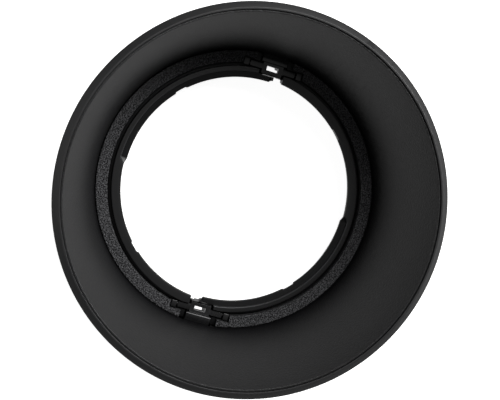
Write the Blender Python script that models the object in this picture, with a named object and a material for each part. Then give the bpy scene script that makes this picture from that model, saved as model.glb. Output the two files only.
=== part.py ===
# Clip-on lens hood: a black conical bell on a short collar.
# Two sprung clip levers in the collar hook into the front thread of a 72 mm lens.
# The rear face of the collar lies on z = 0, the optical axis is Z, and the bell opens towards +Z.
# The levers lie on +X (a) and -X (b). Lengths are in millimetres until a mesh is made.
import math

import bmesh
import bpy
from mathutils import Matrix

MM = 0.001

# Overall sizes
RIM_RADIUS = 51.35
RIM_Z = 48.85
FLOOR_Z = 12.0
GAP = 0.3
BELL_STEPS = 96
RING_STEPS = 72

# Bell and collar
WALL_FOOT_RADIUS = 40.75
WALL = 1.9
LIP_RADIUS = 48.6
LIP_Z = 48.3
LIP_FLAT = 0.2
COLLAR_RADIUS = 42.6
COLLAR_CHAMFER = 0.5
COLLAR_FILLET = 1.6
FILLET_SWELL = 0.25
COLLAR_LIP_RADIUS = 38.6
COLLAR_LIP_Z = 0.5
BELL_SLOPE = (LIP_RADIUS - WALL_FOOT_RADIUS) / (LIP_Z - FLOOR_Z)

# Front rim ring, seated in a rebate outside the bell
REBATE_Z = 41.0
REBATE_WALL = 0.7
REBATE_TOP_Z = 46.0
LAND_INNER_RADIUS = 49.2
LAND_OUTER_RADIUS = 49.7
RIM_BEVEL_DROP = 1.2
BEAD_FOOT_RADIUS = 49.3
BEAD_Z = 45.0
BEAD_ROUND = (1.4, 0.5)

# Mount ring
PLAIN_RADIUS = 33.4
LUG_RADIUS = 32.85
BAND_INNER_RADIUS = 34.2
BAND_RADIUS = 35.9
BAND_Z = 11.4
GROOVE_RADIUS = 37.0
GROOVE_Z = 9.0
LUG_TOP_Z = 10.5
LUG_BOTTOM_Z = 9.4
PLAIN_EDGE = 1.0
SHELF_Z = 10.2
SHELF_BOTTOM_Z = 9.2
STOP_Z = 7.4
STOP_INNER_RADIUS = 34.0
STOP_EDGE = 1.2
GUIDE_RADIUS = 37.3
GUIDE_OUTER_RADIUS = 39.25
GUIDE_CHAMFER = (0.5, 0.7)
FLANGE_RADIUS = WALL_FOOT_RADIUS - GAP
FLANGE_Z = COLLAR_LIP_Z + GAP
FLANGE_TOP_Z = 1.4
LUG_END_AZ = 90.0
LUG_RAMP = 3.0
LUG_OVERRUN = 1.0
KEY_NOTCH_AZ = 45.5
KEY_NOTCH_HALF = 3.0
KEY_NOTCH_DEPTH = 0.35
EDGE_STEP = 0.3

# Grained floor covers, which lie on the mount ring's shelf
COVER_INNER_RADIUS = 37.25
COVER_RADIUS = FLANGE_RADIUS
COVER_BOTTOM_Z = SHELF_Z + GAP
COVER_EDGE = 0.2
COVER_SLOT_HALF = 5.6

# Clip levers, as radius, tangent and height
PIVOT_RADIUS = 36.7
PIVOT_Z = 9.7
FRAME_INNER_RADIUS = 34.6
FRAME_RADIUS = 38.5
FRAME_HALF = 3.0
FRAME_BOTTOM_Z = 8.7
FRAME_TOP_Z = 11.0
FRAME_CHAMFER = 0.3
EYE_INNER_RADIUS = 35.9
EYE_RADIUS = 37.25
EYE_HALF = 1.75
LEG_INNER_RADIUS = 34.7
LEG_RADIUS = 35.3
LEG_HALF = 1.7
LEG_BOTTOM_Z = 4.8
LEG_TIP_CHAMFER = 0.3
CLAW_RADIUS = 35.9
CLAW_Z = 6.3
CLAW_RAMP = 0.5
ARM_HALF = 3.7
ARM_TOP_Z = 11.6
ARM_FLAT = 0.9
ARM_ROUND = 0.5
ARM_ROUND_STEPS = 4
ARM_BOTTOM_Z = 8.8
BUTTON_HALF = 4.8
BUTTON_INNER_RADIUS = 40.9
BUTTON_RADIUS = 43.9
BUTTON_BOTTOM_Z = 2.5
BUTTON_TOP_Z = 10.4
BUTTON_EDGE = 0.6
BUTTON_SHOULDER = 2.2
RIB_COUNT = 5
RIB_PITCH = 1.15
RIB_HEIGHT = 0.35
RIB_BOTTOM_Z = 3.2
RIB_FLAT = (0.3, 0.6)
EAR_RADIUS = 0.9
EAR_HALF = 6.9
EAR_FLAT_HALF = 0.75
EAR_TOP_Z = 10.9
EAR_TIP_RADIUS = 0.5
EAR_TIP_HALF = 8.0
EAR_SIDES = 16

# How deep one solid runs into the next before they are joined
JOIN = 0.6

# Room that the levers have in their neighbours
SIDE_ROOM = 0.4
FRAME_SLOT_HALF = 3.7
SLOT_FLOOR_Z = 8.1
LEG_SLOT_RADIUS = 38.75
LEG_SLOT_HALF = LEG_HALF + SIDE_ROOM
ARM_SLOT_HALF = ARM_HALF + SIDE_ROOM
WINDOW_HALF = BUTTON_HALF + SIDE_ROOM
EAR_POCKET_HALF = EAR_HALF + GAP
TIP_POCKET_HALF = EAR_TIP_HALF + GAP
EAR_REACH = EAR_RADIUS + GAP
TONGUE_RADIUS = 34.3
TONGUE_END = -1.0
ARM_SLOT_INNER_RADIUS = 36.5
BOSS_INNER_RADIUS = 35.7
BOSS_RADIUS = 37.8
BOSS_HALF = 8.8
BOSS_Z = 11.3
WINDOW_BOTTOM_Z = 0.9
WINDOW_TOP_Z = 11.3

# Springs behind the buttons
SPRING_Z = 5.4
SPRING_RADIUS = 1.2
SPRING_WIRE = 0.3
SPRING_PITCH = 0.8
SPRING_TURNS = 3
SPRING_POINTS = 10
SPRING_POCKET_RADIUS = 1.75
SPRING_POCKET_END = 42.9

# How far cutters run past the part or past a face, and the step between neighbouring cutters
CLEAR = 60.0
OVERCUT = 2.0
STAGGER = 0.2


def clear_scene():
    for old in list(bpy.data.objects):
        bpy.data.objects.remove(old, do_unlink=True)


def make_material(name, colour, roughness, metallic=0.0):
    material = bpy.data.materials.new(name)
    material.use_nodes = True
    shader = material.node_tree.nodes["Principled BSDF"]
    shader.inputs["Base Color"].default_value = (*colour, 1.0)
    shader.inputs["Roughness"].default_value = roughness
    shader.inputs["Metallic"].default_value = metallic
    return material


def finish_object(name, bm, material=None, parent=None):
    bmesh.ops.recalc_face_normals(bm, faces=bm.faces)
    bmesh.ops.scale(bm, vec=(MM, MM, MM), verts=bm.verts)
    mesh = bpy.data.meshes.new(name)
    bm.to_mesh(mesh)
    bm.free()
    part = bpy.data.objects.new(name, mesh)
    bpy.context.scene.collection.objects.link(part)
    part.parent = parent
    if material:
        mesh.materials.append(material)
        mesh.shade_smooth()
        mesh.set_sharp_from_angle(angle=math.radians(35))
    return part


def hide_helper(helper):
    helper.hide_render = True
    helper.display_type = "WIRE"
    return helper


def add_boolean(part, helper, operation="DIFFERENCE"):
    step = part.modifiers.new(helper.name, "BOOLEAN")
    step.operation = operation
    step.solver = "EXACT"
    step.object = helper


# Sweeps a closed outline of (radius, z) points round Z; outline_at gives the outline at each azimuth.
def sweep(outline_at, azimuths, closed=True):
    bm = bmesh.new()
    rings = []
    for azimuth in azimuths:
        turn = math.radians(azimuth)
        outline = outline_at(azimuth)
        rings.append([bm.verts.new((r * math.cos(turn), r * math.sin(turn), z)) for r, z in outline])
    pairs = list(zip(rings, rings[1:]))
    if closed:
        pairs.append((rings[-1], rings[0]))
    for near, far in pairs:
        count = len(near)
        for i in range(count):
            j = (i + 1) % count
            bm.faces.new((near[i], far[i], far[j], near[j]))
    if not closed:
        bm.faces.new(rings[0])
        bm.faces.new(reversed(rings[-1]))
    return bm


def turn_steps(count):
    return [360.0 * i / count for i in range(count)]


# Extrudes an outline of (x, z) points from y0 to y1.
def extrude_outline(outline, y0, y1):
    bm = bmesh.new()
    face = bm.faces.new([bm.verts.new((x, y0, z)) for x, z in outline])
    raised = bmesh.ops.extrude_face_region(bm, geom=[face])
    moved = [item for item in raised["geom"] if isinstance(item, bmesh.types.BMVert)]
    bmesh.ops.translate(bm, vec=(0.0, y1 - y0, 0.0), verts=moved)
    return bm


def add_block(bm, low, high):
    size = [b - a for a, b in zip(low, high)]
    middle = [(a + b) / 2 for a, b in zip(low, high)]
    place = Matrix.Translation(middle) @ Matrix.Diagonal((*size, 1.0))
    bmesh.ops.create_cube(bm, size=1.0, matrix=place)


# The same block at both latches: the second is turned half round Z.
def latch_blocks(name, low, high):
    bm = bmesh.new()
    add_block(bm, low, high)
    add_block(bm, (-high[0], -high[1], low[2]), (-low[0], -low[1], high[2]))
    return hide_helper(finish_object(name, bm))


def bell_inner_radius(z):
    return WALL_FOOT_RADIUS + (z - FLOOR_Z) * BELL_SLOPE


def bell_outline(_azimuth):
    fillet_top = FLOOR_Z + COLLAR_FILLET
    return [
        (COLLAR_LIP_RADIUS, 0.0),
        (COLLAR_RADIUS - COLLAR_CHAMFER, 0.0),
        (COLLAR_RADIUS, COLLAR_CHAMFER),
        (COLLAR_RADIUS, FLOOR_Z - COLLAR_FILLET / 2),
        (bell_inner_radius(FLOOR_Z) + WALL + FILLET_SWELL, FLOOR_Z + COLLAR_FILLET / 3),
        (bell_inner_radius(fillet_top) + WALL, fillet_top),
        (bell_inner_radius(REBATE_Z) + WALL, REBATE_Z),
        (bell_inner_radius(REBATE_Z) + REBATE_WALL, REBATE_Z),
        (bell_inner_radius(REBATE_TOP_Z) + REBATE_WALL, REBATE_TOP_Z),
        (LIP_RADIUS + LIP_FLAT, LIP_Z),
        (LIP_RADIUS, LIP_Z),
        (WALL_FOOT_RADIUS, FLOOR_Z),
        (WALL_FOOT_RADIUS, COLLAR_LIP_Z),
        (COLLAR_LIP_RADIUS, COLLAR_LIP_Z),
    ]


def rim_outline(_azimuth):
    seat_z = REBATE_Z + GAP
    fit = REBATE_WALL + GAP
    groove_z = REBATE_TOP_Z + (LAND_INNER_RADIUS - fit - bell_inner_radius(REBATE_TOP_Z)) / BELL_SLOPE
    return [
        (bell_inner_radius(seat_z) + fit, seat_z),
        (BEAD_FOOT_RADIUS, seat_z),
        (BEAD_FOOT_RADIUS + BEAD_ROUND[0], seat_z + BEAD_ROUND[1]),
        (RIM_RADIUS - BEAD_ROUND[1], BEAD_Z - BEAD_ROUND[0]),
        (RIM_RADIUS, BEAD_Z),
        (RIM_RADIUS, RIM_Z - RIM_BEVEL_DROP),
        (LAND_OUTER_RADIUS, RIM_Z),
        (LAND_INNER_RADIUS, RIM_Z),
        (LAND_INNER_RADIUS, groove_z),
    ]


# 1 on a lug, 0 on a plain quarter, falling from 1 to 0 over the lead-in ramp.
def lug_share(azimuth):
    half_turn = azimuth % 180.0
    if half_turn <= LUG_END_AZ or half_turn >= 180.0 - LUG_OVERRUN:
        return 1.0
    return max(0.0, 1.0 - (half_turn - LUG_END_AZ) / LUG_RAMP)


def key_notch(azimuth):
    offset = abs((azimuth % 90.0) - KEY_NOTCH_AZ)
    return KEY_NOTCH_DEPTH if offset < KEY_NOTCH_HALF else 0.0


def mount_outline(azimuth):
    notch = key_notch(azimuth)
    plain = [
        (PLAIN_RADIUS + notch, BAND_Z - PLAIN_EDGE),
        (PLAIN_RADIUS + notch, BAND_Z - PLAIN_EDGE * 0.4),
        (PLAIN_RADIUS + notch, BAND_Z - PLAIN_EDGE * 0.2),
        (PLAIN_RADIUS + notch, BAND_Z),
    ]
    lug = [
        (LUG_RADIUS + notch, LUG_BOTTOM_Z),
        (LUG_RADIUS + notch, LUG_TOP_Z),
        (BAND_INNER_RADIUS, LUG_TOP_Z),
        (BAND_INNER_RADIUS, BAND_Z),
    ]
    share = lug_share(azimuth)
    edge = [(a + (c - a) * share, b + (d - b) * share) for (a, b), (c, d) in zip(plain, lug)]
    return edge + [
        (BAND_RADIUS, BAND_Z),
        (BAND_RADIUS, GROOVE_Z),
        (GROOVE_RADIUS, GROOVE_Z),
        (GROOVE_RADIUS, SHELF_Z),
        (FLANGE_RADIUS, SHELF_Z),
        (FLANGE_RADIUS, SHELF_BOTTOM_Z),
        (GUIDE_OUTER_RADIUS, SHELF_BOTTOM_Z),
        (GUIDE_OUTER_RADIUS, FLANGE_TOP_Z),
        (FLANGE_RADIUS, FLANGE_TOP_Z),
        (FLANGE_RADIUS, FLANGE_Z),
        (GUIDE_RADIUS + GUIDE_CHAMFER[0], FLANGE_Z),
        (GUIDE_RADIUS, FLANGE_Z + GUIDE_CHAMFER[1]),
        (GUIDE_RADIUS, STOP_Z),
        (STOP_INNER_RADIUS, STOP_Z),
        (STOP_INNER_RADIUS, STOP_Z + STOP_EDGE),
    ]


# Even steps, with a close pair of rings at each sudden change of the outline.
def mount_azimuths():
    breaks = [180.0 - LUG_OVERRUN - EDGE_STEP, 180.0 - LUG_OVERRUN]
    breaks += [LUG_END_AZ, LUG_END_AZ + LUG_RAMP]
    for centre in (KEY_NOTCH_AZ, 180.0 - KEY_NOTCH_AZ):
        for side in (-1, 1):
            edge = centre + side * KEY_NOTCH_HALF
            breaks += [edge - EDGE_STEP, edge + EDGE_STEP]
    sudden = breaks + [azimuth + 180.0 for azimuth in breaks]
    even = [a for a in turn_steps(RING_STEPS) if min(abs(a - b) for b in sudden) > 2 * EDGE_STEP]
    return sorted(even + sudden)


def cover_outline(_azimuth):
    return [
        (COVER_INNER_RADIUS, COVER_BOTTOM_Z),
        (COVER_RADIUS, COVER_BOTTOM_Z),
        (COVER_RADIUS, FLOOR_Z - COVER_EDGE),
        (COVER_RADIUS - COVER_EDGE, FLOOR_Z),
        (COVER_INNER_RADIUS + COVER_EDGE, FLOOR_Z),
        (COVER_INNER_RADIUS, FLOOR_Z - COVER_EDGE),
    ]


def make_bell_shell(material):
    bell = finish_object("bell_shell", sweep(bell_outline, turn_steps(BELL_STEPS)), material)
    low = (WALL_FOOT_RADIUS - OVERCUT, -WINDOW_HALF, WINDOW_BOTTOM_Z)
    high = (COLLAR_RADIUS + OVERCUT, WINDOW_HALF, WINDOW_TOP_Z)
    add_boolean(bell, latch_blocks("button_windows", low, high))


def make_front_rim_ring(material):
    finish_object("front_rim_ring", sweep(rim_outline, turn_steps(BELL_STEPS)), material)


# Bosses are added for the ends of the ears, then each lever gets its room.
# Each open cutter ends a little higher than the one before it, so that no two share a face.
def make_mount_ring(material):
    ring = finish_object("mount_ring", sweep(mount_outline, mount_azimuths()), material)
    boss_low = (BOSS_INNER_RADIUS, -BOSS_HALF, GROOVE_Z - JOIN)
    boss_high = (BOSS_RADIUS, BOSS_HALF, BOSS_Z)
    add_boolean(ring, latch_blocks("ear_bosses", boss_low, boss_high), "UNION")
    tip_reach = EAR_TIP_RADIUS + GAP
    tip_low = (PIVOT_RADIUS - tip_reach, -TIP_POCKET_HALF, PIVOT_Z - tip_reach)
    tip_high = (PIVOT_RADIUS + tip_reach, TIP_POCKET_HALF, PIVOT_Z + tip_reach)
    add_boolean(ring, latch_blocks("tip_pockets", tip_low, tip_high))
    leg_low = (LUG_RADIUS, -LEG_SLOT_HALF, 0.0)
    leg_high = (LEG_SLOT_RADIUS, LEG_SLOT_HALF, SLOT_FLOOR_Z + STAGGER)
    add_boolean(ring, latch_blocks("leg_slots", leg_low, leg_high))
    frame_low = (TONGUE_RADIUS, -FRAME_SLOT_HALF, SLOT_FLOOR_Z)
    arm_low = (ARM_SLOT_INNER_RADIUS, -ARM_SLOT_HALF, SLOT_FLOOR_Z - STAGGER)
    gap_low = (LUG_RADIUS - OVERCUT, -FRAME_SLOT_HALF, 0.0)
    ear_low = (PIVOT_RADIUS - EAR_REACH, -EAR_POCKET_HALF, PIVOT_Z - EAR_REACH)
    rooms = [
        ("frame_slots", frame_low, (COVER_INNER_RADIUS, FRAME_SLOT_HALF)),
        ("lug_gaps", gap_low, (FRAME_INNER_RADIUS, TONGUE_END)),
        ("arm_slots", arm_low, (COLLAR_RADIUS, ARM_SLOT_HALF)),
        ("ear_pockets", ear_low, (PIVOT_RADIUS + EAR_REACH, EAR_POCKET_HALF)),
    ]
    for i, (name, low, far) in enumerate(rooms):
        top = FLOOR_Z + OVERCUT + i * STAGGER
        add_boolean(ring, latch_blocks(name, low, (*far, top)))


def make_floor_covers(material):
    low_z = COVER_BOTTOM_Z - OVERCUT
    high_z = FLOOR_Z + OVERCUT
    slot = bmesh.new()
    add_block(slot, (-CLEAR, -COVER_SLOT_HALF, low_z), (CLEAR, COVER_SLOT_HALF, high_z))
    slot = hide_helper(finish_object("cover_slot", slot))
    low = (PLAIN_RADIUS, -BOSS_HALF - GAP, low_z - STAGGER)
    high = (BOSS_RADIUS + GAP, BOSS_HALF + GAP, high_z + STAGGER)
    ears = latch_blocks("cover_ear_room", low, high)
    for name, start in (("floor_cover_a", 0.0), ("floor_cover_b", 180.0)):
        azimuths = [start + 180.0 * i / (RING_STEPS // 2) for i in range(RING_STEPS // 2 + 1)]
        cover = finish_object(name, sweep(cover_outline, azimuths, closed=False), material)
        add_boolean(cover, slot)
        add_boolean(cover, ears)


# From the pivot, in the lever's own frame: x outwards, y along the ears, z to the front.
def from_pivot(outline):
    return [(x - PIVOT_RADIUS, z - PIVOT_Z) for x, z in outline]


def button_outline():
    outline = [
        (BUTTON_INNER_RADIUS, BUTTON_TOP_Z - BUTTON_EDGE),
        (BUTTON_INNER_RADIUS, BUTTON_BOTTOM_Z + BUTTON_EDGE),
        (BUTTON_INNER_RADIUS + BUTTON_EDGE, BUTTON_BOTTOM_Z),
        (BUTTON_RADIUS - BUTTON_EDGE, BUTTON_BOTTOM_Z),
    ]
    for i in range(RIB_COUNT):
        z = RIB_BOTTOM_Z + i * RIB_PITCH
        outline.append((BUTTON_RADIUS - RIB_HEIGHT, z))
        outline += [(BUTTON_RADIUS, z + RIB_PITCH * share) for share in RIB_FLAT]
    outline += [
        (BUTTON_RADIUS - RIB_HEIGHT, RIB_BOTTOM_Z + RIB_COUNT * RIB_PITCH),
        (BUTTON_RADIUS - 2 * BUTTON_EDGE, BUTTON_TOP_Z - BUTTON_EDGE),
        (BUTTON_RADIUS - BUTTON_SHOULDER, BUTTON_TOP_Z),
        (BUTTON_INNER_RADIUS + BUTTON_EDGE, BUTTON_TOP_Z),
    ]
    return from_pivot(outline)


# The bridge from the frame to the button, one step higher than the frame, with a rounded step.
def arm_outline():
    outline = [
        (FRAME_RADIUS - ARM_ROUND, ARM_BOTTOM_Z),
        (BUTTON_INNER_RADIUS + JOIN, ARM_BOTTOM_Z),
        (BUTTON_INNER_RADIUS + JOIN, BUTTON_TOP_Z),
        (FRAME_RADIUS + ARM_FLAT, ARM_TOP_Z),
    ]
    for i in range(ARM_ROUND_STEPS + 1):
        turn = math.pi / 2 * i / ARM_ROUND_STEPS
        drop = ARM_ROUND * (1 - math.cos(turn))
        outline.append((FRAME_RADIUS - ARM_ROUND * math.sin(turn), ARM_TOP_Z - drop))
    return from_pivot(outline)


def leg_outline():
    root_z = FRAME_BOTTOM_Z + LEG_TIP_CHAMFER
    return from_pivot([
        (LEG_INNER_RADIUS, root_z),
        (LEG_INNER_RADIUS, LEG_BOTTOM_Z + LEG_TIP_CHAMFER),
        (LEG_INNER_RADIUS + LEG_TIP_CHAMFER, LEG_BOTTOM_Z),
        (LEG_RADIUS, LEG_BOTTOM_Z),
        (CLAW_RADIUS, CLAW_Z - LEG_TIP_CHAMFER),
        (CLAW_RADIUS, CLAW_Z),
        (LEG_RADIUS, CLAW_Z + CLAW_RAMP),
        (LEG_RADIUS, root_z),
    ])


def frame_outline():
    return from_pivot([
        (FRAME_INNER_RADIUS, FRAME_BOTTOM_Z),
        (FRAME_RADIUS, FRAME_BOTTOM_Z),
        (FRAME_RADIUS, FRAME_TOP_Z),
        (FRAME_INNER_RADIUS + FRAME_CHAMFER, FRAME_TOP_Z),
        (FRAME_INNER_RADIUS, FRAME_TOP_Z - FRAME_CHAMFER),
    ])


# Round bars along y on both sides, from an inner to an outer half length.
def ear_bars(radius, inner, outer):
    bm = bmesh.new()
    upright = Matrix.Rotation(math.pi / 2, 4, "X")
    for side in (-1, 1):
        place = Matrix.Translation((0.0, side * (inner + outer) / 2, 0.0)) @ upright
        bmesh.ops.create_cone(bm, cap_ends=True, segments=EAR_SIDES, radius1=radius, radius2=radius,
                              depth=outer - inner, matrix=place)
    return bm


# Flat-topped ribs along the ears, which nearly fill their pockets towards the front.
def ear_ribs():
    bm = bmesh.new()
    inner = FRAME_HALF - JOIN
    outer = EAR_HALF - STAGGER
    top = EAR_TOP_Z - PIVOT_Z
    add_block(bm, (-EAR_FLAT_HALF, inner, 0.0), (EAR_FLAT_HALF, outer, top))
    add_block(bm, (-EAR_FLAT_HALF, -outer, 0.0), (EAR_FLAT_HALF, -inner, top))
    return bm


def spring_pocket():
    bm = bmesh.new()
    start = BUTTON_INNER_RADIUS - JOIN
    middle = ((start + SPRING_POCKET_END) / 2 - PIVOT_RADIUS, 0.0, SPRING_Z - PIVOT_Z)
    place = Matrix.Translation(middle) @ Matrix.Rotation(math.pi / 2, 4, "Y")
    bmesh.ops.create_cone(bm, cap_ends=True, segments=EAR_SIDES, radius1=SPRING_POCKET_RADIUS,
                          radius2=SPRING_POCKET_RADIUS, depth=SPRING_POCKET_END - start, matrix=place)
    return bm


def eye_block():
    bm = bmesh.new()
    low = (EYE_INNER_RADIUS - PIVOT_RADIUS, -EYE_HALF, FRAME_BOTTOM_Z - PIVOT_Z - OVERCUT)
    high = (EYE_RADIUS - PIVOT_RADIUS, EYE_HALF, FRAME_TOP_Z - PIVOT_Z + OVERCUT)
    add_block(bm, low, high)
    return bm


def make_latch_lever(letter, turn, material):
    pivot = bpy.data.objects.new("latch_pivot_" + letter, None)
    bpy.context.scene.collection.objects.link(pivot)
    x = PIVOT_RADIUS * MM * math.cos(turn)
    pivot.location = (x, 0.0, PIVOT_Z * MM)
    pivot.rotation_euler = (0.0, 0.0, turn)
    button = extrude_outline(button_outline(), -BUTTON_HALF, BUTTON_HALF)
    lever = finish_object("latch_lever_" + letter, button, material, pivot)
    shapes = [
        ("arm", extrude_outline(arm_outline(), -ARM_HALF, ARM_HALF), "UNION"),
        ("frame", extrude_outline(frame_outline(), -FRAME_HALF, FRAME_HALF), "UNION"),
        ("leg", extrude_outline(leg_outline(), -LEG_HALF, LEG_HALF), "UNION"),
        ("eye", eye_block(), "DIFFERENCE"),
        ("ears", ear_bars(EAR_RADIUS, FRAME_HALF - JOIN, EAR_HALF), "UNION"),
        ("ear_ribs", ear_ribs(), "UNION"),
        ("ear_tips", ear_bars(EAR_TIP_RADIUS, EAR_HALF - JOIN, EAR_TIP_HALF), "UNION"),
        ("pocket", spring_pocket(), "DIFFERENCE"),
    ]
    for shape, bm, operation in shapes:
        helper = hide_helper(finish_object("lever_%s_%s" % (shape, letter), bm, None, pivot))
        add_boolean(lever, helper, operation)


# Points of a coil along X, with one straight wire diameter at each end.
def spring_points():
    start = GUIDE_OUTER_RADIUS + GAP
    count = SPRING_TURNS * SPRING_POINTS
    coil = []
    for i in range(count + 1):
        turn = 2 * math.pi * i / SPRING_POINTS
        x = start + SPRING_WIRE + SPRING_PITCH * i / SPRING_POINTS
        coil.append((x, SPRING_RADIUS * math.cos(turn), SPRING_Z + SPRING_RADIUS * math.sin(turn)))
    first, last = coil[0], coil[-1]
    head = (first[0] - SPRING_WIRE, first[1], first[2])
    tail = (last[0] + SPRING_WIRE, last[1], last[2])
    return [head] + coil + [tail]


# Least clear distance between turns, on points at least half a turn apart.
def spring_self_gap(points):
    apart = SPRING_POINTS // 2
    gaps = [math.dist(p, q) for i, p in enumerate(points) for q in points[i + apart:]]
    return min(gaps) - SPRING_WIRE


def make_latch_spring(letter, turn, material):
    points = spring_points()
    wire = bpy.data.curves.new("latch_spring_" + letter, "CURVE")
    wire.dimensions = "3D"
    wire.bevel_depth = SPRING_WIRE / 2 * MM
    wire.bevel_resolution = 1
    wire.use_fill_caps = True
    path = wire.splines.new("POLY")
    path.points.add(len(points) - 1)
    for point, place in zip(path.points, points):
        point.co = (place[0] * MM, place[1] * MM, place[2] * MM, 1.0)
    wire.materials.append(material)
    spring = bpy.data.objects.new("latch_spring_" + letter, wire)
    spring.rotation_euler = (0.0, 0.0, turn)
    bpy.context.scene.collection.objects.link(spring)


def main():
    clear_scene()
    make_bell_shell(make_material("satin_black_moulding", (0.022, 0.022, 0.023), 0.45))
    make_front_rim_ring(make_material("black_rim_moulding", (0.026, 0.026, 0.027), 0.40))
    make_mount_ring(make_material("black_mount_moulding", (0.018, 0.018, 0.019), 0.38))
    make_floor_covers(make_material("grained_black_moulding", (0.030, 0.030, 0.031), 0.55))
    lever_black = make_material("gloss_black_lever", (0.016, 0.016, 0.017), 0.30)
    spring_steel = make_material("spring_steel", (0.55, 0.55, 0.56), 0.25, 1.0)
    for letter, turn in (("a", 0.0), ("b", math.pi)):
        make_latch_lever(letter, turn, lever_black)
        make_latch_spring(letter, turn, spring_steel)
    print("least gap between spring turns: %.2f mm" % spring_self_gap(spring_points()))


main()
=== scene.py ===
import math

import bmesh
import bpy
import numpy as np
from mathutils import Matrix, Vector


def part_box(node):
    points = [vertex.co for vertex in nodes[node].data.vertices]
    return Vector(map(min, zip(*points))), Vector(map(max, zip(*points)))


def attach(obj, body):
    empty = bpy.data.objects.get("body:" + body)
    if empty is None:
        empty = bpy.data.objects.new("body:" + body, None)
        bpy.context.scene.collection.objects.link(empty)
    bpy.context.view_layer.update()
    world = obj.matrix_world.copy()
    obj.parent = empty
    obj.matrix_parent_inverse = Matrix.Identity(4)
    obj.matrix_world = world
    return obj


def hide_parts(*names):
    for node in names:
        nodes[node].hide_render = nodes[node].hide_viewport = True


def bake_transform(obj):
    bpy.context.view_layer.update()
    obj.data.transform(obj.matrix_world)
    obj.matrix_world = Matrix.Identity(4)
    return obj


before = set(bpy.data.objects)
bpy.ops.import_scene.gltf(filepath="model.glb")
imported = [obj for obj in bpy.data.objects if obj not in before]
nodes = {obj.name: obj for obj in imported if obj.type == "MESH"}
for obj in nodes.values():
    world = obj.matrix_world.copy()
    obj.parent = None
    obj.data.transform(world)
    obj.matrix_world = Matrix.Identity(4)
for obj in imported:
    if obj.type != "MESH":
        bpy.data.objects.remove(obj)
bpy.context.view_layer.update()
mm = 0.001
rimLow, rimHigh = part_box("front_rim_ring")
mountLow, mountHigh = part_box("mount_ring")
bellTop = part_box("bell_shell")[1].z / mm
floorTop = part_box("floor_cover_a")[1].z / mm
print("frame loaded:", len(nodes), "nodes")


# sRGB hex to linear: ((c + 0.055) / 1.055) ^ 2.4, and c / 12.92 near black
def hexColour(text):
    srgb = np.array([int(text[i:i + 2], 16) for i in (1, 3, 5)]) / 255.0
    linear = np.where(srgb > 0.04045, ((srgb + 0.055) / 1.055) ** 2.4, srgb / 12.92)
    return (*linear.tolist(), 1.0)


# adds one node: attribute settings, socket values, and links given as socket: (node, output)
def addNode(tree, kind, values=None, links=None, **settings):
    node = tree.nodes.new(kind)
    for key, value in settings.items():
        setattr(node, key, value)
    for key, value in (values or {}).items():
        node.inputs[key].default_value = value
    for key, (source, output) in (links or {}).items():
        tree.links.new(source.outputs[output], node.inputs[key])
    return node


def newMaterial(name):
    material = bpy.data.materials.new(name)
    material.use_nodes = True
    material.node_tree.nodes.clear()
    return material, material.node_tree


# a mesh from a grid of points p[u, v], closed in u and in v where asked
# a tube that is open in u gets a flat end at each side
def gridObject(name, p, wrapU=True, wrapV=True):
    nu, nv = p.shape[:2]
    u = np.arange(nu if wrapU else nu - 1)[:, None]
    v = np.arange(nv if wrapV else nv - 1)[None, :]
    uNext = (u + 1) % nu
    vNext = (v + 1) % nv
    quads = np.stack([u * nv + v, uNext * nv + v, uNext * nv + vNext, u * nv + vNext], -1).reshape(-1, 4)
    loops = quads.reshape(-1)
    sizes = np.full(len(quads), 4)
    if wrapV and not wrapU:
        ends = np.concatenate([np.arange(nv)[::-1], (nu - 1) * nv + np.arange(nv)])
        loops = np.concatenate([loops, ends])
        sizes = np.concatenate([sizes, [nv, nv]])
    mesh = bpy.data.meshes.new(name)
    mesh.vertices.add(nu * nv)
    mesh.vertices.foreach_set("co", p.reshape(-1).astype(np.float32))
    mesh.loops.add(loops.size)
    mesh.loops.foreach_set("vertex_index", loops.astype(np.int32))
    mesh.polygons.add(len(sizes))
    mesh.polygons.foreach_set("loop_start", (np.cumsum(sizes) - sizes).astype(np.int32))
    mesh.update(calc_edges=True)
    piece = bpy.data.objects.new(name, mesh)
    bpy.context.scene.collection.objects.link(piece)
    return piece


# rounds a closed outline of corners (r, z, rounding): each becomes an arc of that radius,
# which leaves both sides at distance rounding / tan(half angle)
def roundOutline(corners, steps=5, straightHalf=1.57):
    pts = np.array(corners, float)[:, :2]
    out = []
    for i, (_, _, rounding) in enumerate(corners):
        here = pts[i]
        back = pts[i - 1] - here
        ahead = pts[(i + 1) % len(pts)] - here
        back /= np.linalg.norm(back)
        ahead /= np.linalg.norm(ahead)
        half = math.acos(np.clip(back @ ahead, -1, 1)) / 2
        if half > straightHalf:  # a straight run has no corner to round
            out.append(np.repeat(here[None], steps, axis=0))
            continue
        reach = rounding / math.tan(half)
        middle = (back + ahead) / np.linalg.norm(back + ahead)
        centre = here + middle * rounding / math.sin(half)
        start = here + back * reach - centre
        sweep = math.pi - 2 * half
        side = np.sign(back[0] * ahead[1] - back[1] * ahead[0])
        turn = -side * np.linspace(0, sweep, steps)
        c, s = np.cos(turn), np.sin(turn)
        out.append(centre + np.stack([c * start[0] - s * start[1], s * start[0] + c * start[1]], -1))
    return np.concatenate(out)


# adds points along the long sides of a closed outline, so that no side is longer than step
def fillOutline(outline, step):
    ends = np.roll(outline, -1, axis=0)
    counts = np.maximum(1, np.ceil(np.linalg.norm(ends - outline, axis=1) / step)).astype(int)
    runs = [a + (b - a) * np.linspace(0, 1, n, endpoint=False)[:, None]
            for a, b, n in zip(outline, ends, counts)]
    return np.concatenate(runs)


# turns an outline of (r, z) round Z: x = r cos a, y = r sin a
def turnOutline(outline, azimuths):
    r = np.broadcast_to(outline[..., 0], (len(azimuths), outline.shape[-2]))
    z = np.broadcast_to(outline[..., 1], r.shape)
    a = azimuths[:, None]
    return np.stack([r * np.cos(a), r * np.sin(a), z], -1)


def evenTurn(count):
    return np.linspace(0, 2 * math.pi, count, endpoint=False)


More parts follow.
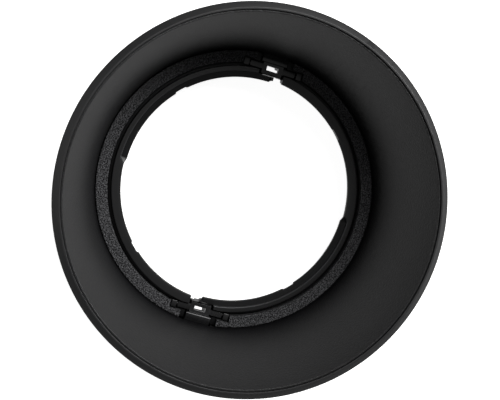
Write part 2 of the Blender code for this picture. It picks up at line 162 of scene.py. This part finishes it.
def faceOut(piece, mergeAt=1e-7):
    bm = bmesh.new()
    bm.from_mesh(piece.data)
    bmesh.ops.remove_doubles(bm, verts=bm.verts, dist=mergeAt)
    bmesh.ops.recalc_face_normals(bm, faces=bm.faces)
    bm.to_mesh(piece.data)
    bm.free()


# smooth over gentle bends, sharp where two faces meet at more than the angle
def shade(piece, degrees=32):
    piece.data.shade_smooth()
    piece.data.set_sharp_from_angle(angle=math.radians(degrees))


# puts what the modifiers give into the mesh itself
def applyModifiers(piece):
    bpy.context.view_layer.update()
    shown = piece.evaluated_get(bpy.context.evaluated_depsgraph_get())
    piece.data = bpy.data.meshes.new_from_object(shown)
    piece.modifiers.clear()


def turnHalf(piece):
    piece.data.transform(Matrix.Rotation(math.pi, 4, "Z"))


# cuts blocks (low corner, high corner, edge radius) out of a piece, or adds them,
# at both latches, half a turn apart
def blocksAtLatches(piece, blocks, operation="DIFFERENCE"):
    for low, high, radius in blocks:
        bm = bmesh.new()
        size = Vector(high) - Vector(low)
        place = Matrix.Translation((Vector(high) + Vector(low)) / 2) @ Matrix.Diagonal((*size, 1.0))
        bmesh.ops.create_cube(bm, size=1.0, matrix=place)
        if radius:
            bmesh.ops.bevel(bm, geom=bm.edges[:], offset=radius, segments=3, profile=0.5, affect="EDGES")
        twin = bmesh.ops.duplicate(bm, geom=bm.verts[:] + bm.edges[:] + bm.faces[:])["geom"]
        spun = [item for item in twin if isinstance(item, bmesh.types.BMVert)]
        bmesh.ops.rotate(bm, verts=spun, cent=(0, 0, 0), matrix=Matrix.Rotation(math.pi, 3, "Z"))
        bmesh.ops.scale(bm, vec=(mm, mm, mm), verts=bm.verts)
        mesh = bpy.data.meshes.new("latchRoom")
        bm.to_mesh(mesh)
        bm.free()
        cutter = bpy.data.objects.new("latchRoom", mesh)
        bpy.context.scene.collection.objects.link(cutter)
        step = piece.modifiers.new("room", "BOOLEAN")
        step.operation = operation
        step.solver = "EXACT"
        step.object = cutter
        applyModifiers(piece)
        bpy.data.objects.remove(cutter, do_unlink=True)


# Stage: floor, light and the camera at the photograph's angle

view = dict(
    tilt=10.5,          # degrees between the optical axis and the line of sight
    tiltTowards=35.5,   # degrees below the image's right, where the front of the axis leans
    latchAngle=16.9,    # degrees clockwise from up, where lever a lies
    distance=0.2603,    # metres from the point it looks at
    aim=(1.55, 1.2),    # millimetres right of and below the frame's middle, where the rim's centre falls
    focal=1021.0,       # pixels, in a frame 500 wide
    imageWidth=500,
    sensor=36.0,        # millimetres
)


def makeCamera():
    tilt, lean, latch = (math.radians(view[key]) for key in ("tilt", "tiltTowards", "latchAngle"))
    axisZ = Vector((math.sin(tilt) * math.cos(lean), -math.sin(tilt) * math.sin(lean), math.cos(tilt)))
    axisX = Vector((math.sin(latch), math.cos(latch), 0))
    axisX.z = -(axisX.x * axisZ.x + axisX.y * axisZ.y) / axisZ.z  # square to axisZ
    axisX.normalize()
    axisY = axisZ.cross(axisX)
    turn = Matrix((axisX, axisY, axisZ))  # rows: the object's axes seen from the camera
    target = Vector((0, 0, rimHigh.z)) - turn @ Vector((view["aim"][0], -view["aim"][1], 0)) * mm
    lens = bpy.data.cameras.new("camera")
    lens.sensor_width = view["sensor"]
    lens.lens = view["focal"] * lens.sensor_width / view["imageWidth"]
    camera = bpy.data.objects.new("camera", lens)
    place = target + turn @ Vector((0, 0, view["distance"]))
    camera.matrix_world = Matrix.Translation(place) @ turn.to_4x4()
    bpy.context.scene.collection.objects.link(camera)
    bpy.context.scene.camera = camera
    return turn, target


light = dict(
    key=dict(side=(0.55, 0.57, 0.90), size=0.75, watts=14.0),    # right, up, towards the camera, in metres
    low=dict(side=(0.924, 0.300, 0.516), size=0.35, watts=6.5),
    strip=dict(side=(1.057, -0.283, 0.115), size=0.80, watts=2.6),
    fill=dict(side=(-0.80, 0.10, 0.70), size=0.80, watts=1.3),
    ambient=0.08,
    sheen=0.24,         # how white the studio is in reflections
    floorColour="#e6e6e4",
    floorGlow=0.94,     # what the camera sees of the floor before any light falls on it
    floorMirrored=0.435,  # how white the floor is in reflections
    floorReach=3.0,
    floorDrop=0.1,      # millimetres below the collar, so that the two faces don't share a plane
)
white = (1, 1, 1, 1)


# 1 for what the camera sees straight or through glass, 0 for light and reflections
def seenByCamera(tree):
    path = addNode(tree, "ShaderNodeLightPath")
    rays = {0: (path, "Is Camera Ray"), 1: (path, "Is Transmission Ray")}
    return path, addNode(tree, "ShaderNodeMath", links=rays, operation="MAXIMUM")


def makeLights(turn, target):
    for name in ("key", "low", "strip", "fill"):
        setting = light[name]
        lamp = bpy.data.lights.new(name, "AREA")
        lamp.energy = setting["watts"]
        lamp.size = setting["size"]
        lampObject = bpy.data.objects.new(name, lamp)
        place = target + turn @ Vector(setting["side"])
        lampObject.location = place
        lampObject.rotation_euler = (place - target).to_track_quat("Z", "Y").to_euler()
        bpy.context.scene.collection.objects.link(lampObject)
    world = bpy.data.worlds.new("studio")
    world.use_nodes = True
    tree = world.node_tree
    tree.nodes.clear()
    path, seen = seenByCamera(tree)
    backdrop = addNode(tree, "ShaderNodeBackground", {"Color": white, "Strength": 1.0})
    soft = addNode(tree, "ShaderNodeBackground", {"Color": white, "Strength": light["ambient"]})
    sheen = addNode(tree, "ShaderNodeBackground", {"Color": white, "Strength": light["sheen"]})
    studio = addNode(tree, "ShaderNodeMixShader",
                     links={0: (path, "Is Glossy Ray"), 1: (soft, 0), 2: (sheen, 0)})
    mix = addNode(tree, "ShaderNodeMixShader", links={0: (seen, 0), 1: (studio, 0), 2: (backdrop, 0)})
    addNode(tree, "ShaderNodeOutputWorld", links={"Surface": (mix, 0)})
    bpy.context.scene.world = world


# white paper sweep: white to the camera and in reflections, with the object's shadow left on it
def paperMaterial():
    material, tree = newMaterial("white paper")
    path, seen = seenByCamera(tree)
    glow = addNode(tree, "ShaderNodeMath", {1: light["floorGlow"]}, {0: (seen, 0)}, operation="MULTIPLY")
    shine = addNode(tree, "ShaderNodeEmission", {"Color": white}, {"Strength": (glow, 0)})
    matt = addNode(tree, "ShaderNodeBsdfDiffuse", {"Color": hexColour(light["floorColour"])})
    both = addNode(tree, "ShaderNodeAddShader", links={0: (matt, 0), 1: (shine, 0)})
    even = addNode(tree, "ShaderNodeEmission", {"Color": white, "Strength": light["floorMirrored"]})
    mix = addNode(tree, "ShaderNodeMixShader", links={0: (path, "Is Glossy Ray"), 1: (both, 0), 2: (even, 0)})
    addNode(tree, "ShaderNodeOutputMaterial", links={"Surface": (mix, 0)})
    return material


# a flat square: z = -drop
def makeFloor():
    reach = light["floorReach"]
    sides = np.linspace(-reach, reach, 2)
    x, y = np.meshgrid(sides, sides, indexing="ij")
    floor = gridObject("floor", np.stack([x, y, np.full_like(x, -light["floorDrop"] * mm)], -1), False, False)
    floor.data.materials.append(paperMaterial())


turn, target = makeCamera()
makeLights(turn, target)
makeFloor()
bpy.context.scene.view_settings.view_transform = "Standard"
print("stage set")


# Materials

plastic = dict(
    ior=1.5,
    level=0.5,         # specular level of a plain plastic face
    glossSpread=0.05,  # how far the roughness varies over the grain
    paintedShadeEdge=0.2,      # millimetres in which the painted shade of a matt area ends
)


# injection-moulded black plastic: near black under a soft skin gloss, uneven where the melt flowed
# sheenSize and grainSize are the widths of a cloud and of a grain, and grainDepth its height, in millimetres
# the grain is drawn coarser than the real skin's, which is too fine to show
def mouldedPlastic(name, dark, pale, roughness, sheenSize, grainSize, grainDepth,
                   edgePolish=0.0, matt=None, paintedHighlight=None):
    material, tree = newMaterial(name)
    place = addNode(tree, "ShaderNodeTexCoord")
    cloud = addNode(tree, "ShaderNodeTexNoise",
                    {"Scale": 1 / (sheenSize * mm), "Detail": 4.0, "Roughness": 0.6},
                    {"Vector": (place, "Object")})
    grain = addNode(tree, "ShaderNodeTexNoise",
                    {"Scale": 1 / (grainSize * mm), "Detail": 3.0, "Roughness": 0.55},
                    {"Vector": (place, "Object")})
    spread = addNode(tree, "ShaderNodeMapRange", {"From Min": 0.3, "From Max": 0.7},
                     {"Value": (cloud, "Fac")})
    tone = addNode(tree, "ShaderNodeMix", {"A": hexColour(dark), "B": hexColour(pale)},
                   {"Factor": (spread, 0)}, data_type="RGBA")
    if paintedHighlight:  # painted highlight: the edge is painted paler, as far as the mesh's own attribute says
        highlightMask = addNode(tree, "ShaderNodeAttribute", attribute_name="edgeHighlight")
        tone = addNode(tree, "ShaderNodeMix", {"B": hexColour(paintedHighlight)},
                       {"Factor": (highlightMask, "Fac"), "A": (tone, "Result")}, data_type="RGBA")
    rough = {"To Min": roughness - plastic["glossSpread"], "To Max": roughness + plastic["glossSpread"]}
    gloss = addNode(tree, "ShaderNodeMapRange", {"From Min": 0.25, "From Max": 0.75, **rough},
                    {"Value": (grain, "Fac")})
    if edgePolish:  # handled edges: smoother, so they catch the light
        shape = addNode(tree, "ShaderNodeNewGeometry")
        edge = addNode(tree, "ShaderNodeMapRange",
                       {"From Min": 0.51, "From Max": 0.60, "To Min": 0.0, "To Max": edgePolish},
                       {"Value": (shape, "Pointiness")})
        gloss = addNode(tree, "ShaderNodeMath", links={0: (gloss, 0), 1: (edge, 0)}, operation="SUBTRACT")
    bump = addNode(tree, "ShaderNodeBump", {"Strength": 1.0, "Distance": grainDepth * mm},
                   {"Height": (grain, "Fac")})
    skin = addNode(tree, "ShaderNodeBsdfPrincipled", {"IOR": plastic["ior"]},
                   {"Base Color": (tone, "Result"), "Roughness": (gloss, 0), "Normal": (bump, 0)})
    if matt:  # painted shade: inside a radius the gloss fades out downwards, between two heights, so that the wall's foot and the mount's lower steps read dark as in their shade
        parts = addNode(tree, "ShaderNodeSeparateXYZ", links={0: (place, "Object")})
        flat = addNode(tree, "ShaderNodeCombineXYZ", links={"X": (parts, "X"), "Y": (parts, "Y")})
        reach = addNode(tree, "ShaderNodeVectorMath", links={0: (flat, 0)}, operation="LENGTH")
        fade = addNode(tree, "ShaderNodeMapRange",
                       {"From Min": matt["low"] * mm, "From Max": matt["high"] * mm,
                        "To Min": matt["least"], "To Max": plastic["level"]},
                       {"Value": (parts, "Z")}, interpolation_type="SMOOTHSTEP")
        outside = addNode(tree, "ShaderNodeMapRange",
                          {"From Min": matt["within"] * mm,
                           "From Max": (matt["within"] + plastic["paintedShadeEdge"]) * mm,
                           "To Max": plastic["level"]},
                          {"Value": (reach, "Value")})
        level = addNode(tree, "ShaderNodeMath", links={0: (fade, 0), 1: (outside, 0)}, operation="MAXIMUM")
        tree.links.new(level.outputs[0], skin.inputs["Specular IOR Level"])
    addNode(tree, "ShaderNodeOutputMaterial", links={"Surface": (skin, 0)})
    return material


# spark-eroded black ABS: a speckled matt face, its peaks greyer than its pits
def sparkEroded(dark, pale, speckSize, pitSize, pitDepth):
    material, tree = newMaterial("spark-eroded black ABS")
    place = addNode(tree, "ShaderNodeTexCoord")
    specks = addNode(tree, "ShaderNodeTexNoise",
                     {"Scale": 1 / (speckSize * mm), "Detail": 2.0, "Roughness": 0.5},
                     {"Vector": (place, "Object")})
    pits = addNode(tree, "ShaderNodeTexNoise",
                   {"Scale": 1 / (pitSize * mm), "Detail": 3.0, "Roughness": 0.55},
                   {"Vector": (place, "Object")})
    spread = addNode(tree, "ShaderNodeMapRange", {"From Min": 0.40, "From Max": 0.68},
                     {"Value": (specks, "Fac")})
    tone = addNode(tree, "ShaderNodeMix", {"A": hexColour(dark), "B": hexColour(pale)},
                   {"Factor": (spread, 0)}, data_type="RGBA")
    gloss = addNode(tree, "ShaderNodeMapRange", {"To Min": 0.42, "To Max": 0.58}, {"Value": (pits, "Fac")})
    bump = addNode(tree, "ShaderNodeBump", {"Strength": 1.0, "Distance": pitDepth * mm},
                   {"Height": (pits, "Fac")})
    skin = addNode(tree, "ShaderNodeBsdfPrincipled", {"IOR": plastic["ior"], "Specular IOR Level": 0.12},
                   {"Base Color": (tone, "Result"), "Roughness": (gloss, 0), "Normal": (bump, 0)})
    addNode(tree, "ShaderNodeOutputMaterial", links={"Surface": (skin, 0)})
    return material


# drawn spring steel: a grey metal, slightly uneven in tone and gloss from drawing
def springSteel(dark, pale, markSize):
    material, tree = newMaterial("drawn spring steel")
    place = addNode(tree, "ShaderNodeTexCoord")
    marks = addNode(tree, "ShaderNodeTexNoise", {"Scale": 1 / (markSize * mm), "Detail": 2.0},
                    {"Vector": (place, "Object")})
    tone = addNode(tree, "ShaderNodeMix", {"A": hexColour(dark), "B": hexColour(pale)},
                   {"Factor": (marks, "Fac")}, data_type="RGBA")
    gloss = addNode(tree, "ShaderNodeMapRange", {"To Min": 0.25, "To Max": 0.45}, {"Value": (marks, "Fac")})
    skin = addNode(tree, "ShaderNodeBsdfPrincipled", {"Metallic": 1.0},
                   {"Base Color": (tone, "Result"), "Roughness": (gloss, 0)})
    addNode(tree, "ShaderNodeOutputMaterial", links={"Surface": (skin, 0)})
    return material


satin = mouldedPlastic(
    "satin black ABS", dark="#0e0e0f", pale="#121213", roughness=0.38, sheenSize=9.0,
    # painted shade: the wall's gloss fades out towards its foot
    grainSize=0.55, grainDepth=0.11, matt=dict(low=11.5, high=17.5, least=0.07, within=42.1),
)
rimSatin = mouldedPlastic(
    "satin black ABS, handled rim", dark="#0f0f10", pale="#141415", roughness=0.45, sheenSize=6.0,
    grainSize=0.35, grainDepth=0.006, edgePolish=0.12,
)
eroded = sparkEroded(dark="#0b0b0c", pale="#58585a", speckSize=0.36, pitSize=0.22, pitDepth=0.03)
smooth = mouldedPlastic(
    "smooth black ABS", dark="#09090a", pale="#0d0d0e", roughness=0.34, sheenSize=5.0,
    # the pale edge colour is a painted highlight along the band's inner edge
    grainSize=0.3, grainDepth=0.004, paintedHighlight="#2f2f31",
    # painted shade: the gloss fades out in the mount's lower steps and its groove
    matt=dict(low=10.2, high=11.4, least=0.2, within=45.0),
)
leverSkin = mouldedPlastic(
    "semi-gloss black acetal", dark="#0f0f10", pale="#151516", roughness=0.34, sheenSize=3.0,
    grainSize=0.3, grainDepth=0.004, edgePolish=0.12,
)
steel = springSteel(dark="#77777a", pale="#a9a9ab", markSize=0.2)
print("materials made")


# Bell: one moulding, the cone with its rear collar

bell = dict(
    footRadius=40.75, wall=1.9, lipRadius=48.6, lipFlat=0.54, lipRound=0.12, lipOuterRound=0.05,
    collarRadius=42.6, collarEdge=0.5, collarFillet=3.0,
    collarLip=38.6, collarLipTop=0.5, collarLipRound=0.15,
    rebateLow=41.0, rebateWall=0.7, rebateHigh=46.0, rebateRound=0.2, edge=0.25, rootRound=0.1, steps=480,
    window=((38.5, -5.2, 0.9), (44.6, 5.2, 11.3), 0.5),  # where the finger button shows
)
bellSlope = (bell["lipRadius"] - bell["footRadius"]) / (bellTop - floorTop)


# inner wall of the cone: r = foot + slope (z - floor)
def bellInside(z):
    return bell["footRadius"] + bellSlope * (z - floorTop)


# the wall's outline, rounded and turned round Z
def makeBell():
    b = bell
    coneStart = floorTop + (b["collarRadius"] - b["wall"] - b["footRadius"]) / bellSlope
    corners = [
        (b["collarLip"], 0.0, b["collarLipRound"]),
        (b["collarRadius"], 0.0, b["collarEdge"]),
        (b["collarRadius"], coneStart, b["collarFillet"]),
        (bellInside(b["rebateLow"]) + b["wall"], b["rebateLow"], b["edge"]),
        (bellInside(b["rebateLow"]) + b["rebateWall"], b["rebateLow"], b["rootRound"]),
        (bellInside(b["rebateHigh"]) + b["rebateWall"], b["rebateHigh"], b["rebateRound"]),
        (b["lipRadius"] + b["lipFlat"], bellTop, b["lipOuterRound"]),
        (b["lipRadius"], bellTop, b["lipRound"]),
        (b["footRadius"], floorTop, b["edge"]),
        (b["footRadius"], b["collarLipTop"], b["rootRound"]),
        (b["collarLip"], b["collarLipTop"], b["collarLipRound"]),
    ]
    piece = gridObject("bellMoulding", turnOutline(roundOutline(corners), evenTurn(b["steps"])) * mm)
    faceOut(piece)
    blocksAtLatches(piece, [b["window"]])
    shade(piece)
    return piece


# Rim: the ring bonded into the bell's rebate, with a bevel and a flat land,
# and a dark groove between it and the bell's lip

rim = dict(
    seat=1.0, footRadius=49.3, bead=(1.4, 0.5), beadHeight=45.0, beadRounds=(0.8, 1.2, 1.5), bevelDrop=1.2,
    bevelRound=0.35, landInner=49.2, landOuter=49.7, landRound=0.2, footRound=0.15, fineRound=0.1, steps=480,
)


# the ring's outline, rounded and turned round Z
def makeRim():
    low = rimLow.z / mm
    top = rimHigh.z / mm
    out = rimHigh.x / mm
    grooveLow = floorTop + (rim["landInner"] - rim["seat"] - bell["footRadius"]) / bellSlope
    wide, short = rim["bead"]
    underRound, sideRound, beadRound = rim["beadRounds"]
    corners = [
        (bellInside(low) + rim["seat"], low, rim["fineRound"]),
        (rim["footRadius"], low, rim["footRound"]),
        (rim["footRadius"] + wide, low + short, underRound),
        (out - short, rim["beadHeight"] - wide, sideRound),
        (out, rim["beadHeight"], beadRound),
        (out, top - rim["bevelDrop"], rim["bevelRound"]),
        (rim["landOuter"], top, rim["landRound"]),
        (rim["landInner"], top, rim["fineRound"]),
        (rim["landInner"], grooveLow, rim["fineRound"]),
    ]
    piece = gridObject("rimMoulding", turnOutline(roundOutline(corners), evenTurn(rim["steps"])) * mm)
    faceOut(piece)
    shade(piece)
    return piece


# Mount ring: bands round the throat; two quarters carry a lug one step lower, two are plain

mount = dict(
    plainRadius=33.4, plainEdge=1.0, plainSteps=(0.4, 0.2), plainInset=0.15, plainRound=0.05,
    lugRadius=32.85, lugTop=10.5, lugLow=9.4, lugRound=0.2, lugRoot=0.1,
    lugEnd=90.0, lugRamp=3.0, lugOverrun=1.0,          # degrees
    bandInner=34.65, bandRadius=36.08, groove=(37.0, 9.0), edgeBand=0.3, round=0.15, footRound=0.12,
    shelf=10.2, shelfLow=9.2, stopLow=7.4, stopInner=34.0, stopEdge=1.2,
    guide=37.3, guideOuter=39.25, flangeTop=1.4, chamfer=(0.5, 0.7),
    notchAt=45.5, notchHalf=3.0, notchRamp=0.4,        # degrees
    notchDepth=0.35, steps=900,
    highlightInset=0.08, highlightHalf=0.12, highlightDepth=0.2,      # painted highlight: a pale line along the band's inner edge
    boss=((35.7, -8.8, 8.4), (37.8, 8.8, 11.3), 0.2),  # round the ends of the lever's ears
    rooms=[
        ((35.9, -8.3, 8.9), (37.5, 8.3, 10.5), 0.0),    # pins
        ((32.8, -2.1, -1.0), (38.75, 2.1, 8.3), 0.0),   # leg
        ((34.38, -3.7, 8.1), (37.2, 3.7, 14.0), 0.2),   # frame
        ((30.6, -3.7, -1.2), (34.6, -1.0, 14.2), 0.3),  # gap at the lug's end
        ((36.5, -4.1, 7.9), (42.6, 4.1, 14.4), 0.0),    # arm
        ((35.5, -7.2, 8.5), (37.9, 7.2, 14.6), 0.2),    # ears
    ],
)


# share of lug in the inner edge, by azimuth in degrees: 1 on the stepped quarters, 0 on the plain ones
def lugShare(azimuth):
    a = azimuth % 180.0
    ramp = 1 - np.clip((a - mount["lugEnd"]) / mount["lugRamp"], 0, 1)
    return np.maximum(ramp, np.clip(a - (180.0 - mount["lugOverrun"]), 0, 1))


# key notches in the inner edge, one in each quarter
def notchShare(azimuth):
    off = np.abs(azimuth % 90.0 - mount["notchAt"])
    return np.clip((mount["notchHalf"] - off) / mount["notchRamp"] + 0.5, 0, 1)


# painted highlight: 1 on the rounded inner edge of the band, where a lug lies below it, and 0 elsewhere
def paintEdgeHighlight(piece):
    p = np.empty(len(piece.data.vertices) * 3, np.float32)
    piece.data.vertices.foreach_get("co", p)
    x, y, z = p.reshape(-1, 3).T / mm
    onEdge = np.abs(np.hypot(x, y) - mount["bandInner"] - mount["highlightInset"]) < mount["highlightHalf"]
    onTop = z > mountHigh.z / mm - mount["highlightDepth"]
    highlightShare = onEdge * onTop * lugShare(np.degrees(np.arctan2(y, x)))
    piece.data.attributes.new("edgeHighlight", "FLOAT", "POINT").data.foreach_set("value", highlightShare.astype(np.float32))


# outline at azimuth a = plain outline (1 - lug share) + lug outline (lug share), notched at the inner edge
def makeMount():
    m = mount
    top = mountHigh.z / mm
    low = mountLow.z / mm
    out = mountHigh.x / mm
    plainEdge = [
        (m["plainRadius"], top - m["plainEdge"], m["footRound"]),
        *[(m["plainRadius"], top - drop, m["plainRound"]) for drop in m["plainSteps"]],
        (m["plainRadius"] + m["plainInset"], top, m["round"]),
    ]
    lugEdge = [
        (m["lugRadius"], m["lugLow"], m["footRound"]), (m["lugRadius"], m["lugTop"], m["lugRound"]),
        (m["bandInner"], m["lugTop"], m["lugRoot"]), (m["bandInner"], top, m["round"]),
    ]
    outer = [
        (m["bandInner"] + m["edgeBand"], top), (m["bandRadius"] - m["edgeBand"], top),
        (m["bandRadius"], top), (m["bandRadius"], m["groove"][1]), m["groove"], (m["groove"][0], m["shelf"]),
        (out, m["shelf"]), (out, m["shelfLow"]),
        (m["guideOuter"], m["shelfLow"]), (m["guideOuter"], m["flangeTop"]),
        (out, m["flangeTop"]), (out, low),
        (m["guide"] + m["chamfer"][0], low), (m["guide"], low + m["chamfer"][1]), (m["guide"], m["stopLow"]),
        (m["stopInner"], m["stopLow"]), (m["stopInner"], m["stopLow"] + m["stopEdge"]),
    ]
    shared = [(r, z, m["round"]) for r, z in outer]
    a = evenTurn(m["steps"])
    share = lugShare(np.degrees(a))[:, None, None]
    plainOutline = roundOutline(plainEdge + shared)
    lugOutline = roundOutline(lugEdge + shared)
    outline = plainOutline[None] * (1 - share) + lugOutline[None] * share
    notch = notchShare(np.degrees(a))[:, None] * m["notchDepth"]
    perCorner = outline.shape[1] // len(plainEdge + shared)
    point = np.arange(outline.shape[1])
    lugFace = point < 2 * perCorner  # a lug is notched on its inner face, between its first two corners
    plainFace = point < len(plainEdge) * perCorner  # and a plain edge through its whole height
    outline[..., 0] += notch * (lugFace * share[..., 0] + plainFace * (1 - share[..., 0]))
    piece = gridObject("mountMoulding", turnOutline(outline, a) * mm)
    faceOut(piece)
    blocksAtLatches(piece, [m["boss"]], "UNION")
    blocksAtLatches(piece, m["rooms"])
    shade(piece)
    # painted highlight along the band's inner edge, kept in a mesh attribute
    paintEdgeHighlight(piece)
    return piece


# Floor covers: two half rings with a coarse spark-eroded grain,
# with room for the latch and its ears at each end

cover = dict(
    inner=37.15, outer=40.5, low=10.5, edge=0.2, lowEdge=0.1, cornerSteps=4, sharpAngle=50,
    grainSize=0.62, grainSpread=0.45, grainHeight=0.06, grainFade=0.15,
    stepAlong=0.14, stepAcross=0.14, fieldAcross=64,
    rooms=[
        ((20.0, -5.6, 5.0), (60.0, 5.6, 20.0), 0.0),  # lever
        ((20.0, -9.1, 5.1), (38.1, 9.1, 20.1), 0.0),  # ears
    ],
)


# grain height, -1 to 1: random waves kept to lengths near one grain, on a strip that closes on itself
def grainField(along, across, seed):
    noise = np.random.default_rng(seed).standard_normal((along, across))
    waveAlong = np.fft.fftfreq(along, cover["stepAlong"])[:, None]
    waveAcross = np.fft.fftfreq(across, cover["stepAcross"])[None, :]
    wave = np.hypot(waveAlong, waveAcross)
    band = np.exp(-((wave * cover["grainSize"] - 1.0) / cover["grainSpread"]) ** 2)
    field = np.real(np.fft.ifft2(np.fft.fft2(noise) * band))
    return np.tanh(field / field.std())


# half a turn of a flat bar: near its top face z goes down by (1 - grain) height
def makeCover(name, seed, turned):
    c = cover
    corners = [
        (c["inner"], c["low"], c["lowEdge"]), (c["outer"], c["low"], c["lowEdge"]),
        (c["outer"], floorTop, c["edge"]), (c["inner"], floorTop, c["edge"]),
    ]
    outline = fillOutline(roundOutline(corners, c["cornerSteps"]), c["stepAcross"])
    count = int(math.pi * c["outer"] / c["stepAlong"])
    p = turnOutline(outline, np.linspace(0, math.pi, count))
    field = grainField(count, c["fieldAcross"], seed)
    column = ((outline[:, 0] - c["inner"]) / c["stepAcross"]).astype(int)
    column = np.clip(column, 0, c["fieldAcross"] - 1)
    onTop = np.clip((outline[:, 1] - (floorTop - c["grainFade"])) / c["grainFade"], 0, 1)
    p[..., 2] += (field[:, column] - 1.0) * onTop[None, :] * c["grainHeight"]
    piece = gridObject(name, p * mm, wrapU=False)
    faceOut(piece)
    blocksAtLatches(piece, c["rooms"])
    if turned:
        turnHalf(piece)
    shade(piece, c["sharpAngle"])
    return piece


# Levers: the moulded clip, its button, claw and ears, with every moulded edge rounded

lever = dict(edge=0.14, segments=3, mergeAt=1e-6, flatAngle=1.0, sharpAngle=40)


# the CAD lever itself: its triangles merged into whole faces, and a round on each sharp edge
def makeLever(name, node):
    mesh = nodes[node].data.copy()
    bm = bmesh.new()
    bm.from_mesh(mesh)
    bmesh.ops.remove_doubles(bm, verts=bm.verts, dist=lever["mergeAt"])
    bmesh.ops.dissolve_limit(bm, angle_limit=math.radians(lever["flatAngle"]), verts=bm.verts, edges=bm.edges)
    bmesh.ops.recalc_face_normals(bm, faces=bm.faces)
    bm.to_mesh(mesh)
    bm.free()
    mesh.materials.clear()
    mesh.transform(nodes[node].matrix_world)
    piece = bpy.data.objects.new(name, mesh)
    bpy.context.scene.collection.objects.link(piece)
    bevel = piece.modifiers.new("edges", "BEVEL")
    bevel.width = lever["edge"] * mm
    bevel.segments = lever["segments"]
    bevel.limit_method = "ANGLE"
    bevel.angle_limit = math.radians(lever["sharpAngle"])
    applyModifiers(piece)
    shade(piece, lever["sharpAngle"])
    return piece


# Springs: round wire on a helix; x = start + pitch t, and y, z = coil cos, sin of each turn

spring = dict(
    z=5.4, coil=1.2, wire=0.15, start=39.7, end=42.4, turns=3.0, perTurn=40, sides=12, sharpAngle=60,
    carried=41.2,  # from this radius out it goes wholly with the button
)


def makeSpring(name, turned):
    s = spring
    t = np.linspace(0, s["turns"], int(s["turns"] * s["perTurn"]) + 1)
    x = s["start"] + (s["end"] - s["start"]) * t / s["turns"]
    y = s["coil"] * np.cos(2 * math.pi * t)
    z = s["z"] + s["coil"] * np.sin(2 * math.pi * t)
    path = np.stack([x, y, z], -1)
    along = np.gradient(path, axis=0)
    along /= np.linalg.norm(along, axis=1)[:, None]
    outward = np.stack([np.zeros_like(t), np.cos(2 * math.pi * t), np.sin(2 * math.pi * t)], -1)
    across = np.cross(along, outward)
    around = evenTurn(s["sides"])
    ring = np.cos(around)[None, :, None] * outward[:, None] + np.sin(around)[None, :, None] * across[:, None]
    piece = gridObject(name, (path[:, None] + s["wire"] * ring) * mm, wrapU=False)
    faceOut(piece)
    if turned:
        turnHalf(piece)
    shade(piece, s["sharpAngle"])
    return piece


# puts a finished piece in its node's place: body, node, material slot and material
def settle(piece, body, node, material, pushedBy=None):
    piece.data.materials.clear()
    piece.data.materials.append(material)
    if pushedBy:  # a spring stands on one body, and its other end goes with the button; here it is left on no body, its place baked into its mesh
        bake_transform(piece)
    else:
        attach(piece, body)
    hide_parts(node)
    print(piece.name, len(piece.data.polygons), "faces")


settle(makeBell(), "hood", "bell_shell", satin)
settle(makeRim(), "hood", "front_rim_ring", rimSatin)
settle(makeMount(), "hood", "mount_ring", smooth)
settle(makeCover("coverA", 11, False), "hood", "floor_cover_a", eroded)
settle(makeCover("coverB", 23, True), "hood", "floor_cover_b", eroded)
settle(makeLever("leverA", "latch_lever_a"), "lever_a", "latch_lever_a", leverSkin)
settle(makeLever("leverB", "latch_lever_b"), "lever_b", "latch_lever_b", leverSkin)
settle(makeSpring("springA", False), "hood", "latch_spring_a", steel, "lever_a")
settle(makeSpring("springB", True), "hood", "latch_spring_b", steel, "lever_b")
print("pieces placed")
